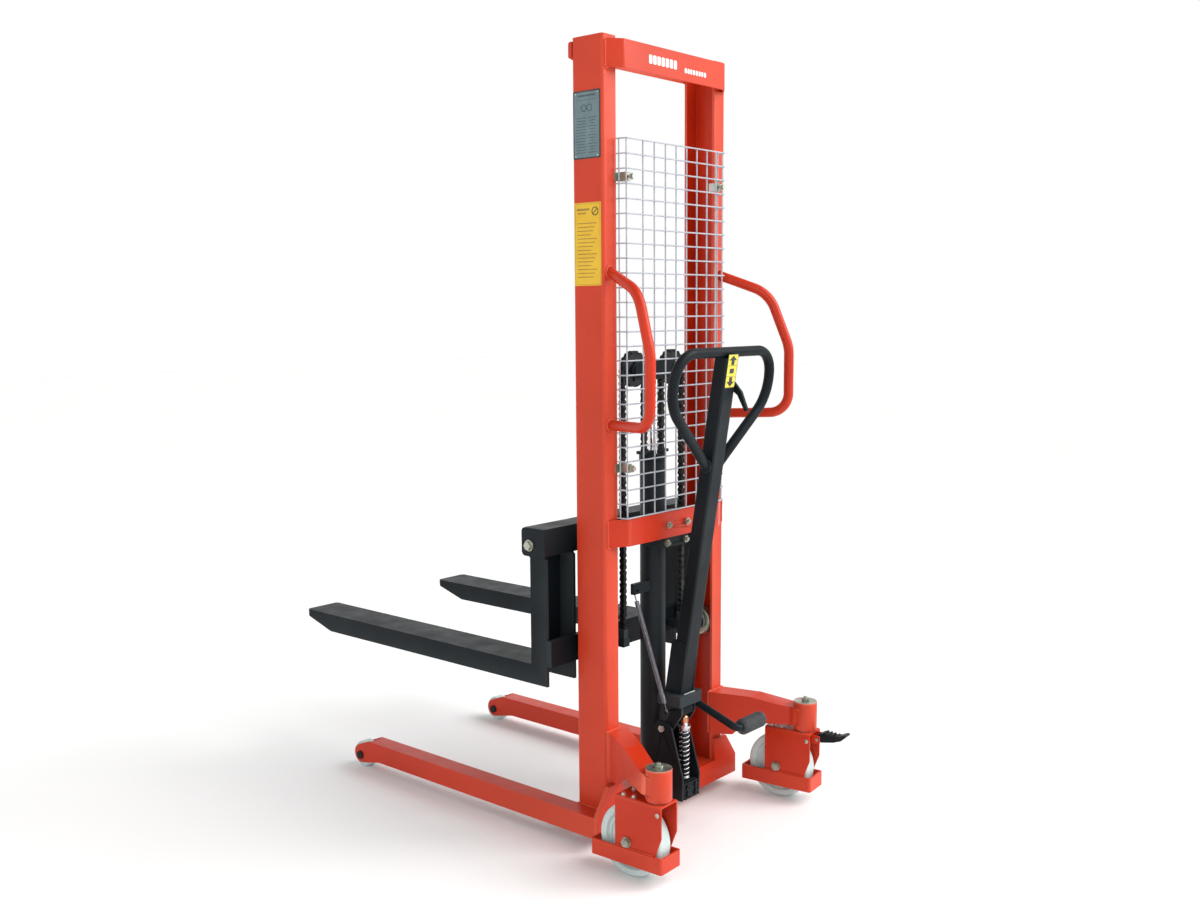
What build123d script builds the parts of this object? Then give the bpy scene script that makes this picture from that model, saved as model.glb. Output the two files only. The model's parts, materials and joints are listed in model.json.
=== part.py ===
from build123d import *
import math
import os

# Millimetres, +Z up, +Y towards the fork tips, X across. Every sub-part is drawn with y = 0 on the
# rear face of the mast and is moved by ORIGIN_X and ORIGIN_Y on export, so that the row's origin is
# the bottom centre of its box.
ORIGIN_X = -2.133
ORIGIN_Y = 389.067

# Mast
MAST_H = 2000.0
MAST_HALF = 252.0
COLUMN_D = 98.0
COLUMN_F = 49.0
WEB_T = 6.0
FLANGE_T = 8.0
COLUMN_Z0 = 35.0
FLANGE_X = MAST_HALF - COLUMN_F
COLUMN_Y = COLUMN_D / 2

# Cross plates of the mast
PLATE_T = 5.0
PLATE_BACK = 30.0
PLATE_FOOT_X = 243.0
TOP_PLATE_Z = (1921.0, 1989.0)
TOP_PLATE_BEND_X = 207.0
LOW_PLATE_Z = (765.0, 834.0)
LOW_PLATE_BEND_X = 190.0
TIE_Z = (1952.0, 1992.0)
TIE_T = 10.0

# Base
BASE_T = 12.0
BASE_HALF = 304.0
BASE_Z = (35.0, 89.0, 156.0)
BASE_NARROW = 256.0
CROSS_TOP = 95.0

# Straddle legs and load rollers
LEG_IN = MAST_HALF
LEG_OUT = 304.0
LEG_Z = (32.0, 87.0)
LEG_WALL = 5.0
LEG_END = 875.0
AXLE_Y = 920.0
LOAD_R = 38.0
LOAD_W = 36.0
LOAD_AXLE_R = 8.0

# Casters
SWIVEL_X = 328.0
SWIVEL_Y = -226.0
HOUSING_R = 32.0
HOUSING_Z = (203.0, 276.0)
KINGPIN_R = 12.0
YOKE_TOP = 200.0
YOKE_HALF = 34.0
YOKE_T = 5.0
YOKE_REAR = -30.0
YOKE_FRONT = 106.0
TRAIL = 70.0
WHEEL_R = 90.0
WHEEL_W = 50.0
WHEEL_AXLE_R = 8.0
GUARD_HALF = 40.0
GUARD_T = 6.0
GUARD_Y = (-36.0, 176.0)
GUARD_Z = (36.0, 76.0)
BRAKE_Y = -46.0
BRAKE_Z = 184.0
TURN = {-1: 2.0, 1: 6.0}

# Grab handles: distance from the column along the splayed plane, and height
HANDLE_X = 228.0
HANDLE_R = 13.0
HANDLE_WALL = 2.5
HANDLE_SPLAY = 21.4
HANDLE_PATH = ((0.0, 1442.0), (137.0, 1392.0), (192.0, 1250.0), (192.0, 1076.0), (0.0, 1070.0))
HANDLE_BENDS = (95.0, 110.0, 52.0)

# Guard mesh
WIRE_R = 1.9
MESH_Z = (837.0, 1759.0)
MESH_ROWS = 27
MESH_BEND_X = 204.0
MESH_FOOT = (210.0, -5.0)
MESH_BACK = -33.0
MESH_X = (-200, -136, -91, -46, -2, 42, 86, 130, 170, 200)
MESH_EDGE = (204.8, -10.0)
CLIP_X = 188.0
CLIP_Z = (961.0, 1670.0)

# Lift cylinder
CYL_R = 34.0
CYL_BORE = 26.0
CYL_Z = (CROSS_TOP, 960.0)
ROD_R = 13.0
PISTON_Z = 300.0
GLAND_R = 36.0
GLAND_TOP = 978.0
ANCHOR_TOP = 986.0
CLAMP_Z = (752.0, 800.0)
U_BOLT_R = 5.0
U_BOLT_X = 40.0

# Crosshead, sheaves and chains
SHEAVE_X = 80.0
SHEAVE_Z = 1197.0
CHAIN_PITCH_R = 44.0
CHAIN_H = 13.0
CHAIN_W = 12.0
SHEAVE_PIN_R = 9.0
CROSS_Z = (1172.0, 1222.0)

# Carriage
BEAM_Y = (135.0, 141.0)
BEAM_Z = (738.0, 808.0)
BEAM_TOP_Y = 205.0
BEAM_HALF = 324.0
END_T = 5.0
SHAFT_R = 12.0
SHAFT_Y = 186.0
SHAFT_Z = 763.0
BAR_Y = (119.5, 135.5)
BAR_Z = (456.0, 524.0)
SIDE_X = (188.0, 196.0)
ROLLER_Z = (488.0, 762.0)
ROLLER_R = 40.0
ROLLER_X = (200.0, 236.0)
ROLLER_PIN_R = 10.0
CHAIN_END_Z = 503.0

# Forks
FORK_X = (211.0, 322.0)
FORK_WALL = 8.0
FORK_REAR = 136.0
FORK_FRONT = 191.0
FORK_TIP = 1133.0
FORK_KNEE = 1022.0
FORK_Z = (402.0, 454.0)
FORK_TIP_Z = 438.0
FORK_HEAD = 798.0

# Pump, rocker and tiller
PUMP_Y = -57.0
PUMP_BLOCK_Z = (68.0, 112.0)
PUMP_HALF = 32.5
BARREL_R = 10.0
BARREL_TOP = 175.0
PUMP_ROD_R = 7.0
PUMP_CAP_Z = 256.0
PUMP_HEAD_Z = 290.0
PUMP_SPRING_R = 12.5
PUMP_SPRING_WIRE = 3.0
CHEEK_X = (33.0, 39.0)
PIVOT_Y = -12.0
PIVOT_Z = 252.0
PIVOT_R = 8.0
ROCKER_X = (24.0, 31.0)
ROCKER_TOP = 350.0
ROCKER_HALF = 46.0
LEAN = 9.15
TUBE_FOOT = (-42.2, 345.0)
TUBE_W = 50.0
TUBE_D = 40.0
TUBE_WALL = 3.0
TUBE_LEN = 900.0
LOOP_R = 13.0
LOOP_WALL = 2.5
LOOP_BENDS = (110.0, 68.0, 68.0, 110.0)
LOOP_PATH = ((-14.0, 612.0), (-212.0, 790.0), (-197.0, 912.0))
PEDAL_R = 10.0
PEDAL_PATH = ((42.0, -52.0, 319.0), (42.0, -197.0, 270.0), (148.0, -197.0, 270.0))
SLEEVE_R = 21.0
SLEEVE_X = (59.0, 150.0)
LEVER_X = (26.0, 34.0)
LEVER_PIVOT = (-178.0, 1166.0)
LEVER_TIP = (-224.0, 1102.0)
SPRING_TOP = (-87.0, 38.0, 606.0)
SPRING_END = (-56.0, -42.0, 314.0)
SPRING_R = 6.0


def block(x0, x1, y0, y1, z0, z1):
    return Pos((x0 + x1) / 2, (y0 + y1) / 2, (z0 + z1) / 2) * Box(abs(x1 - x0), abs(y1 - y0), abs(z1 - z0))


def along_x(points, x0, x1):
    """A prism along X from a polygon of (y, z) points."""
    face = make_face(Plane.YZ * Polyline(*points, close=True))
    return Pos(x0, 0, 0) * extrude(face, amount=x1 - x0, dir=(1, 0, 0))


def along_y(points, y0, y1):
    """A prism along Y from a polygon of (x, z) points."""
    face = make_face(Plane((0, y1, 0), x_dir=(1, 0, 0), z_dir=(0, -1, 0)) * Polyline(*points, close=True))
    return extrude(face, amount=y1 - y0, dir=(0, -1, 0))


def along_z(points, z0, z1):
    """A prism along Z from a polygon of (x, y) points."""
    return Pos(0, 0, z0) * extrude(make_face(Polyline(*points, close=True)), amount=z1 - z0, dir=(0, 0, 1))


def rod_x(x0, x1, y, z, r):
    return Pos((x0 + x1) / 2, y, z) * Rot(0, 90, 0) * Cylinder(r, abs(x1 - x0))


def rod_y(x, y0, y1, z, r):
    return Pos(x, (y0 + y1) / 2, z) * Rot(90, 0, 0) * Cylinder(r, abs(y1 - y0))


def rod_z(x, y, z0, z1, r):
    return Pos(x, y, (z0 + z1) / 2) * Cylinder(r, abs(z1 - z0))


def rod_between(start, end, r):
    line = Line(start, end)
    return sweep(Plane(origin=start, z_dir=line % 0) * Circle(r), path=line)


def hex_y(x, y0, y1, z, across):
    """A hexagonal nut or bolt head with its axis along Y."""
    face = Plane((x, y1, z), x_dir=(1, 0, 0), z_dir=(0, -1, 0)) * RegularPolygon(across / 2, 6, major_radius=False)
    return extrude(face, amount=y1 - y0)


def hex_x(x0, x1, y, z, across):
    face = Plane((x0, y, z), x_dir=(0, 1, 0), z_dir=(1, 0, 0)) * RegularPolygon(across / 2, 6, major_radius=False)
    return extrude(face, amount=x1 - x0)


def hex_z(x, y, z0, z1, across):
    return Pos(x, y, z0) * extrude(RegularPolygon(across / 2, 6, major_radius=False), amount=z1 - z0)


def bent_rod(path, r):
    return sweep(Plane(origin=path @ 0, z_dir=path % 0) * Circle(r), path=path)


def bent_tube(path, r, wall):
    ring = Circle(r) - Circle(r - wall)
    return sweep(Plane(origin=path @ 0, z_dir=path % 0) * ring, path=path)


def other_side(shape):
    return mirror(shape, about=Plane.YZ)


def pair(shape):
    """The same piece on both sides of the mast, as two solids."""
    return [shape, other_side(shape)]


def mast_column():
    outer = block(FLANGE_X, MAST_HALF, 0, COLUMN_D, COLUMN_Z0, MAST_H)
    corners = outer.edges().filter_by(Axis.Z).group_by(Axis.X)[-1]
    outer = fillet(corners, 9)
    hollow = block(FLANGE_X - 1, MAST_HALF - WEB_T, FLANGE_T, COLUMN_D - FLANGE_T, COLUMN_Z0 - 1, MAST_H + 1)
    return outer - hollow


def folded_plate(z_range, bend_x, bend_r):
    """A plate standing off the mast, its ends folded forwards on to the column flanges."""
    back = -PLATE_BACK
    outline = (
        (-PLATE_FOOT_X, 0),
        (-bend_x, back),
        (bend_x, back),
        (PLATE_FOOT_X, 0),
        (PLATE_FOOT_X - 7, 0),
        (bend_x - 2, back + PLATE_T),
        (-bend_x + 2, back + PLATE_T),
        (-PLATE_FOOT_X + 7, 0),
    )
    plate = along_z(outline, *z_range)
    folds = plate.edges().filter_by(Axis.Z).group_by(Axis.Y)[0]
    return fillet(folds, bend_r)


def top_cross_plate():
    return folded_plate(TOP_PLATE_Z, TOP_PLATE_BEND_X, 10)


def lower_cross_plate():
    plate = folded_plate(LOW_PLATE_Z, LOW_PLATE_BEND_X, 30)
    for side in (-1, 1):
        plate -= rod_y(side * U_BOLT_X, -40, 0, CLAMP_Z[1], U_BOLT_R + 0.5)
    return plate


def top_front_plate():
    tie = block(-MAST_HALF, MAST_HALF, COLUMN_D, COLUMN_D + TIE_T, *TIE_Z)
    front = tie.edges().filter_by(Axis.X).group_by(Axis.Y)[-1]
    return fillet(front, 7)


def base_rear_plate():
    low, mid, high = BASE_Z
    outline = (
        (-BASE_HALF, low),
        (BASE_HALF, low),
        (BASE_HALF, mid),
        (BASE_NARROW, high),
        (FLANGE_X, high),
        (FLANGE_X, CROSS_TOP),
        (-FLANGE_X, CROSS_TOP),
        (-FLANGE_X, high),
        (-BASE_NARROW, high),
        (-BASE_HALF, mid),
    )
    return along_y(outline, -BASE_T, 0)


def base_crossmember():
    beam = block(-FLANGE_X, FLANGE_X, 0, COLUMN_D, BASE_Z[0], CROSS_TOP)
    return beam - block(-FLANGE_X - 1, FLANGE_X + 1, 8, COLUMN_D - 8, BASE_Z[0] - 1, CROSS_TOP - 8)


def tangent_points(first, first_r, second, second_r, side):
    """Where the line that touches two circles on one side meets each of them."""
    run, rise = second[0] - first[0], second[1] - first[1]
    angle = math.atan2(rise, run) + side * math.acos((first_r - second_r) / math.hypot(run, rise))
    across, up = math.cos(angle), math.sin(angle)
    return (
        (first[0] + first_r * across, first[1] + first_r * up),
        (second[0] + second_r * across, second[1] + second_r * up),
    )


def leg_profile():
    """Side view of a leg, from the mast to the round nose that holds the load roller's axle."""
    low, high = LEG_Z
    heel = (LEG_END - 40, low)
    shoulder, shoulder_r = (LEG_END + 2, high - 22), 22
    nose, nose_r = (AXLE_Y, LOAD_R + 4), 27
    over_shoulder, over_nose = tangent_points(shoulder, shoulder_r, nose, nose_r, 1)
    under_nose = tangent_points(heel, 0, nose, nose_r, -1)[1]
    top = (shoulder[0], high)
    bend = (shoulder[0] + shoulder_r * math.sin(0.2), shoulder[1] + shoulder_r * math.cos(0.2))
    outline = Polyline(top, (0, high), (0, low), heel, under_nose)
    outline += ThreePointArc(under_nose, (nose[0] + nose_r, nose[1]), over_nose)
    outline += Line(over_nose, over_shoulder)
    outline += ThreePointArc(over_shoulder, bend, top)
    return make_face(outline)


def leg():
    low, high = LEG_Z
    shape = Pos(LEG_IN, 0, 0) * extrude(Plane.YZ * leg_profile(), amount=LEG_OUT - LEG_IN, dir=(1, 0, 0))
    inner, outer = LEG_IN + LEG_WALL, LEG_OUT - LEG_WALL
    shape -= block(inner, outer, 8, LEG_END - 8, low - 1, high - LEG_WALL)
    shape -= block(inner, outer, LEG_END, AXLE_Y + 50, 0, high + 1)
    return shape - rod_x(LEG_IN - 1, LEG_OUT + 1, AXLE_Y, LOAD_R, LOAD_AXLE_R + 0.2)


def load_axle():
    pin = rod_x(LEG_IN - 1, LEG_OUT + 1, AXLE_Y, LOAD_R, LOAD_AXLE_R)
    for x0, x1 in ((LEG_IN - 5, LEG_IN), (LEG_OUT, LEG_OUT + 5)):
        pin += rod_x(x0, x1, AXLE_Y, LOAD_R, 12)
    return pin


def load_roller():
    mid = (LEG_IN + LEG_OUT) / 2
    roller = rod_x(mid - LOAD_W / 2, mid + LOAD_W / 2, AXLE_Y, LOAD_R, LOAD_R)
    roller = chamfer(roller.edges().filter_by(GeomType.CIRCLE), 3)
    return roller - rod_x(mid - 30, mid + 30, AXLE_Y, LOAD_R, LOAD_AXLE_R + 0.05)


def caster_arm():
    outline = (
        (184, 0),
        (MAST_HALF, 0),
        (MAST_HALF + 2, -14),
        (350, -190),
        (358, SWIVEL_Y),
        (298, SWIVEL_Y),
        (296, -196),
        (184, -8),
    )
    side = (
        (5, 178),
        (5, 296),
        (-15, 296),
        (-100, 288),
        (-175, 268),
        (-226, 262),
        (-226, 214),
        (-95, 214),
        (-60, 178),
    )
    inner_side = [(y, z - 6 if z > 230 else z - 30) for y, z in side]
    arm = along_z(outline, 150, 300) & along_x(side, 150, 400)
    face = make_face(Polyline(*outline, close=True))
    hollow = Pos(0, 0, 140) * extrude(offset(face, amount=-6), amount=160) & along_x(inner_side, 150, 400)
    return arm - hollow - rod_z(SWIVEL_X, SWIVEL_Y, 100, 400, HOUSING_R)


def swivel_housing():
    low, high = HOUSING_Z
    tube = rod_z(SWIVEL_X, SWIVEL_Y, low, high, HOUSING_R) - rod_z(SWIVEL_X, SWIVEL_Y, low - 1, high + 1, 25)
    rings = []
    for z in (low, high - 12):
        ring = rod_z(SWIVEL_X, SWIVEL_Y, z, z + 12, 25)
        rings.append(ring - rod_z(SWIVEL_X, SWIVEL_Y, z - 1, z + 13, KINGPIN_R + 0.06))
    return [tube] + rings


def grab_handle(side):
    splay = math.radians(HANDLE_SPLAY)
    points = [
        (side * (HANDLE_X + reach * math.sin(splay)), -reach * math.cos(splay), z) for reach, z in HANDLE_PATH
    ]
    tube = bent_tube(FilletPolyline(*points, radius=list(HANDLE_BENDS)), HANDLE_R, HANDLE_WALL)
    return tube - block(-400, 400, 0, 50, 900, 1600)


def guard_mesh():
    """Welded wires: each cross wire is a straight run and two ends that turn in to the columns."""
    run = rod_x(-MESH_BEND_X, MESH_BEND_X, MESH_BACK, 0, WIRE_R)
    end = rod_between((MESH_BEND_X, MESH_BACK, 0), (*MESH_FOOT, 0), WIRE_R)
    end -= block(0, MESH_BEND_X, -60, 20, -10, 10)
    low, high = MESH_Z
    wires = []
    for row in range(MESH_ROWS):
        z = low + row * (high - low) / (MESH_ROWS - 1)
        wires += [Pos(0, 0, z) * piece for piece in (run, end, other_side(end))]
    for x in MESH_X:
        wires.append(rod_z(x, MESH_BACK + 2 * WIRE_R + 0.1, low - 2, high + 2, WIRE_R))
    edge = rod_z(*MESH_EDGE, low - 2, high + 2, WIRE_R)
    return [solid for wire in (*wires, edge, other_side(edge)) for solid in wire.solids()]


def mesh_clips():
    clips = []
    for z in CLIP_Z:
        strap = block(CLIP_X - 9, FLANGE_X + 10, -2.4, 0, z - 11, z + 11)
        strap += block(CLIP_X - 9, CLIP_X + 9, MESH_BACK + 7, -2.4, z - 11, z + 11)
        bolt = rod_y(CLIP_X, MESH_BACK - 8, MESH_BACK + 7, z, 3)
        bolt += rod_y(CLIP_X, MESH_BACK - 4, MESH_BACK - 2, z, 9)
        bolt += hex_y(CLIP_X, MESH_BACK - 10, MESH_BACK - 4, z, 11)
        clips += pair(strap + bolt)
    return clips


def lift_cylinder():
    low, high = CYL_Z
    tube = rod_z(0, COLUMN_Y, low, high, CYL_R) - rod_z(0, COLUMN_Y, low + 20, high + 1, CYL_BORE)
    lug = block(-100, -20, 32, 44, 616, 644) - rod_z(0, COLUMN_Y, 500, 700, CYL_R)
    lug -= rod_y(SPRING_TOP[0], 20, 60, SPRING_TOP[2] + 20, 4)
    return [tube, lug]


def cylinder_gland():
    gland = rod_z(0, COLUMN_Y, CYL_Z[1], GLAND_TOP, GLAND_R)
    bar = block(-52, 52, COLUMN_Y - 13, COLUMN_Y + 13, GLAND_TOP, ANCHOR_TOP)
    return gland + bar - rod_z(0, COLUMN_Y, 900, 1000, ROD_R + 0.08)


def cylinder_saddle():
    saddle = block(-56, 56, -25, 30, 738, 826) - rod_z(0, COLUMN_Y, 700, 900, CYL_R)
    for side in (-1, 1):
        for z in CLAMP_Z:
            saddle -= rod_y(side * U_BOLT_X, -30, 40, z, U_BOLT_R + 0.2)
    return saddle


def u_bolts():
    bolts = []
    for z, seat in zip(CLAMP_Z, (-25.0, -PLATE_BACK)):
        tail = seat - 14
        arc = ThreePointArc((U_BOLT_X, COLUMN_Y, z), (0, COLUMN_Y + U_BOLT_X, z), (-U_BOLT_X, COLUMN_Y, z))
        start = Line((U_BOLT_X, tail, z), (U_BOLT_X, COLUMN_Y, z))
        finish = Line((-U_BOLT_X, COLUMN_Y, z), (-U_BOLT_X, tail, z))
        bolt = bent_rod(start + arc + finish, U_BOLT_R)
        for side in (-1, 1):
            bolt += hex_y(side * U_BOLT_X, seat - 8, seat, z, 17)
        bolts.append(bolt)
    return bolts


def chain_strand(x, low):
    return block(x - CHAIN_H / 2, x + CHAIN_H / 2, COLUMN_Y - CHAIN_W / 2, COLUMN_Y + CHAIN_W / 2, low, SHEAVE_Z)


def chain_wrap():
    outer = CHAIN_PITCH_R + CHAIN_H / 2
    inner = CHAIN_PITCH_R - CHAIN_H / 2
    low, high = COLUMN_Y - CHAIN_W / 2, COLUMN_Y + CHAIN_W / 2
    ring = rod_y(SHEAVE_X, low, high, SHEAVE_Z, outer) - rod_y(SHEAVE_X, low - 1, high + 1, SHEAVE_Z, inner)
    return ring - block(0, 200, 0, 100, SHEAVE_Z - 100, SHEAVE_Z)


def sheave():
    groove = CHAIN_PITCH_R - CHAIN_H / 2 - 0.4
    wheel = rod_y(SHEAVE_X, COLUMN_Y - 8, COLUMN_Y + 8, SHEAVE_Z, groove)
    for y0, y1 in ((-8, -6.4), (6.4, 8)):
        wheel += rod_y(SHEAVE_X, COLUMN_Y + y0, COLUMN_Y + y1, SHEAVE_Z, groove + 5)
    for turn in range(5):
        angle = math.radians(72 * turn)
        x, z = SHEAVE_X + 23 * math.cos(angle), SHEAVE_Z + 23 * math.sin(angle)
        wheel -= rod_y(x, COLUMN_Y - 9, COLUMN_Y + 9, z, 5)
    return wheel - rod_y(SHEAVE_X, COLUMN_Y - 9, COLUMN_Y + 9, SHEAVE_Z, SHEAVE_PIN_R + 0.05)


def crosshead():
    bar = Rectangle(2 * SHEAVE_X, 40) + Pos(SHEAVE_X, 0) * Circle(20) + Pos(-SHEAVE_X, 0) * Circle(20)
    head = block(-22, 22, COLUMN_Y - 15, COLUMN_Y + 15, *CROSS_Z)
    for y0 in (COLUMN_Y - 15, COLUMN_Y + 9):
        plane = Plane((0, y0 + 6, SHEAVE_Z), x_dir=(1, 0, 0), z_dir=(0, -1, 0))
        head += extrude(plane * bar, amount=6)
    pins = []
    for side in (-1, 1):
        head -= rod_y(side * SHEAVE_X, 0, 100, SHEAVE_Z, SHEAVE_PIN_R)
        pin = rod_y(side * SHEAVE_X, COLUMN_Y - 15, COLUMN_Y + 18, SHEAVE_Z, SHEAVE_PIN_R)
        pins.append(pin + rod_y(side * SHEAVE_X, COLUMN_Y - 19, COLUMN_Y - 15, SHEAVE_Z, 13))
    return [head] + pins


def piston_rod():
    rod = rod_z(0, COLUMN_Y, PISTON_Z, CROSS_Z[0], ROD_R)
    return rod + rod_z(0, COLUMN_Y, PISTON_Z, PISTON_Z + 22, CYL_BORE - 0.05)


def upper_beam():
    beam = block(-BEAM_HALF, BEAM_HALF, *BEAM_Y, *BEAM_Z)
    beam += block(-BEAM_HALF, BEAM_HALF, BEAM_Y[0], BEAM_TOP_Y, BEAM_Z[1] - 6, BEAM_Z[1])
    for x0 in (-BEAM_HALF - END_T, BEAM_HALF):
        end = block(x0, x0 + END_T, BEAM_Y[0], BEAM_TOP_Y + 8, BEAM_Z[0] - 3, BEAM_Z[1])
        beam += fillet(end.edges().filter_by(Axis.X).group_by(Axis.Y)[-1], 12)
    return beam - rod_x(-400, 400, SHAFT_Y, SHAFT_Z, 6.2)


def lower_beam():
    bar = block(-BEAM_HALF, BEAM_HALF, *BAR_Y, *BAR_Z)
    for side in (-1, 1):
        shelf = block(side * 112, side * 136, COLUMN_Y - 12, BAR_Y[0], CHAIN_END_Z - 20, CHAIN_END_Z)
        bar += shelf
    return bar


def carriage_side():
    plate = ((62, 456), (BAR_Y[0], 456), (BAR_Y[0], 610), (BEAM_Y[0], 640), (BEAM_Y[0], 800), (62, 800))
    side = along_x(plate, *SIDE_X)
    for z in ROLLER_Z:
        side += rod_x(*SIDE_X, COLUMN_Y, z, 24)
        side += block(*SIDE_X, COLUMN_Y, 70, z - 24, z + 24)
        side += rod_x(SIDE_X[0] - 4, ROLLER_X[1] + 4, COLUMN_Y, z, ROLLER_PIN_R)
        side += rod_x(ROLLER_X[1] + 0.5, ROLLER_X[1] + 4, COLUMN_Y, z, 14)
        side += rod_x(SIDE_X[1], ROLLER_X[0] - 0.5, COLUMN_Y, z, 15)
    return side


def carriage_roller(z):
    roller = rod_x(*ROLLER_X, COLUMN_Y, z, ROLLER_R)
    roller = chamfer(roller.edges().filter_by(GeomType.CIRCLE), 2.5)
    roller -= rod_x(ROLLER_X[0] - 1, ROLLER_X[0] + 4, COLUMN_Y, z, 30)
    roller += rod_x(ROLLER_X[0], ROLLER_X[0] + 5, COLUMN_Y, z, 24)
    return roller - rod_x(ROLLER_X[0] - 1, ROLLER_X[1] + 1, COLUMN_Y, z, ROLLER_PIN_R + 0.06)


def fork_shaft():
    shaft = rod_x(-BEAM_HALF, BEAM_HALF, SHAFT_Y, SHAFT_Z, SHAFT_R)
    bolts = []
    for side in (-1, 1):
        face = side * (BEAM_HALF + END_T)
        shaft -= rod_x(side * BEAM_HALF, side * (BEAM_HALF - 45), SHAFT_Y, SHAFT_Z, 6)
        bolt = rod_x(side * (BEAM_HALF - 40), face, SHAFT_Y, SHAFT_Z, 6)
        bolt += rod_x(face, face + side * 3, SHAFT_Y, SHAFT_Z, 15)
        bolts.append(bolt + hex_x(min(face, face + side * 10), max(face, face + side * 10), SHAFT_Y, SHAFT_Z, 19))
    return [shaft] + bolts


def fork():
    low, high = FORK_Z
    blade = (
        (FORK_REAR, low),
        (FORK_KNEE, low),
        (FORK_TIP - 8, FORK_TIP_Z - 5),
        (FORK_TIP, FORK_TIP_Z + 4),
        (FORK_TIP, high),
        (FORK_FRONT, high),
        (FORK_FRONT, 730),
        (BEAM_TOP_Y + 4, 744),
        (BEAM_TOP_Y + 4, FORK_HEAD),
        (BEAM_Y[1] + 2, FORK_HEAD),
        (BEAM_Y[1] + 2, BEAM_Z[0] - 2),
        (FORK_REAR, BEAM_Z[0] - 8),
    )
    inner, outer = FORK_X
    shape = along_x(blade, inner, inner + FORK_WALL) + along_x(blade, outer - FORK_WALL, outer)
    shape += block(inner, outer, FORK_FRONT - FORK_WALL, FORK_TIP, high - FORK_WALL, high)
    shape += block(inner, outer, FORK_FRONT - FORK_WALL, FORK_FRONT, high - FORK_WALL, 730)
    nose = ((1060, high - 2), (1060, 424), (FORK_TIP - 8, FORK_TIP_Z - 5), (FORK_TIP, FORK_TIP_Z + 4), (FORK_TIP, high - 2))
    shape += along_x(nose, inner + 1, outer - 1)
    tip = shape.edges().filter_by(Axis.Z).group_by(Axis.Y)[-1]
    shape = fillet(tip, 10)
    return shape - rod_x(inner - 1, outer + 1, SHAFT_Y, SHAFT_Z, SHAFT_R + 0.08)


def on_caster(shape, side):
    return Pos(side * SWIVEL_X, SWIVEL_Y, 0) * Rot(0, 0, TURN[side]) * shape


def caster_yoke(side):
    plate = (
        (YOKE_REAR, YOKE_TOP),
        (YOKE_REAR, 121),
        (-12, 76),
        (-12, 44),
        (YOKE_FRONT, 44),
        (YOKE_FRONT, YOKE_TOP),
    )
    inside = YOKE_HALF - YOKE_T
    yoke = along_x(plate, -YOKE_HALF, YOKE_HALF)
    yoke = fillet(yoke.edges().filter_by(Axis.Y).group_by(Axis.Z)[-1], 6)
    yoke -= block(-inside, inside, -200, 200, 0, YOKE_TOP - 6)
    yoke -= rod_x(-50, 50, TRAIL, WHEEL_R, WHEEL_AXLE_R + 0.2)
    yoke -= rod_z(0, 0, 180, 220, KINGPIN_R)
    if side > 0:
        for x0, x1 in ((-20.5, -16.5), (16.5, 20.5)):
            ear = block(x0, x1, BRAKE_Y - 7, YOKE_REAR + 4, BRAKE_Z - 12, YOKE_TOP - 6)
            yoke += ear - rod_x(x0 - 1, x1 + 1, BRAKE_Y, BRAKE_Z, 4.2)
    return on_caster(yoke, side)


def foot_guard(side):
    band = block(-GUARD_HALF, GUARD_HALF, *GUARD_Y, *GUARD_Z)
    band = fillet(band.edges().filter_by(Axis.Z), 7)
    inner = GUARD_HALF - GUARD_T
    band -= block(-inner, inner, GUARD_Y[0] + GUARD_T, GUARD_Y[1] - GUARD_T, 0, 100)
    return on_caster(band, side)


def caster_pins(side):
    king = rod_z(0, 0, YOKE_TOP - 6, HOUSING_Z[1] + 5, KINGPIN_R)
    king += rod_z(0, 0, HOUSING_Z[1] + 0.4, HOUSING_Z[1] + 5, HOUSING_R - 0.5)
    king += rod_z(0, 0, YOKE_TOP, HOUSING_Z[0] - 0.4, 27)
    king += hex_z(0, 0, HOUSING_Z[1] + 5, HOUSING_Z[1] + 12, 17)
    king += rod_z(0, 0, HOUSING_Z[1] + 12, HOUSING_Z[1] + 17, 5)
    axle = rod_x(-YOKE_HALF - 10, YOKE_HALF + 10, TRAIL, WHEEL_R, WHEEL_AXLE_R)
    for x0 in (-YOKE_HALF - 3, YOKE_HALF):
        axle += rod_x(x0, x0 + 3, TRAIL, WHEEL_R, 13)
    axle += hex_x(-YOKE_HALF - 9, -YOKE_HALF, TRAIL, WHEEL_R, 20) + hex_x(YOKE_HALF, YOKE_HALF + 9, TRAIL, WHEEL_R, 20)
    pins = [on_caster(king, side), on_caster(axle, side)]
    if side > 0:
        pins.append(on_caster(rod_x(-23, 23, BRAKE_Y, BRAKE_Z, 4), side))
    return pins


def wheel(side):
    half = WHEEL_W / 2
    profile = (
        (0, WHEEL_AXLE_R + 0.06),
        (0, 24),
        (9, 28),
        (9, 68),
        (2, 72),
        (0, 84),
        (5, WHEEL_R - 1),
        (12, WHEEL_R),
    )
    left = [(x - half, r) for x, r in profile]
    right = [(half - x, r) for x, r in reversed(profile)]
    shape = revolve(make_face(Polyline(*(left + right), close=True)), axis=Axis.X)
    hub = rod_x(-half - 2, half + 2, 0, 0, 18) - rod_x(-half - 3, half + 3, 0, 0, WHEEL_AXLE_R + 0.06)
    return on_caster(Pos(0, TRAIL, WHEEL_R) * (shape + hub), side)


def brake_pedal():
    outline = (
        (-40, 176),
        (-40, 193),
        (-58, 203),
        (-88, 199),
        (-104, 201),
        (-122, 209),
        (-128, 205),
        (-112, 190),
        (-90, 182),
        (-58, 176),
    )
    pedal = along_x(outline, -15, 15)
    for step in range(4):
        y = -64 - 11 * step
        pedal += block(-15, 15, y - 2, y + 2, 195, 205 - step)
    return on_caster(pedal - rod_x(-20, 20, BRAKE_Y, BRAKE_Z, 4.06), 1)


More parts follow.
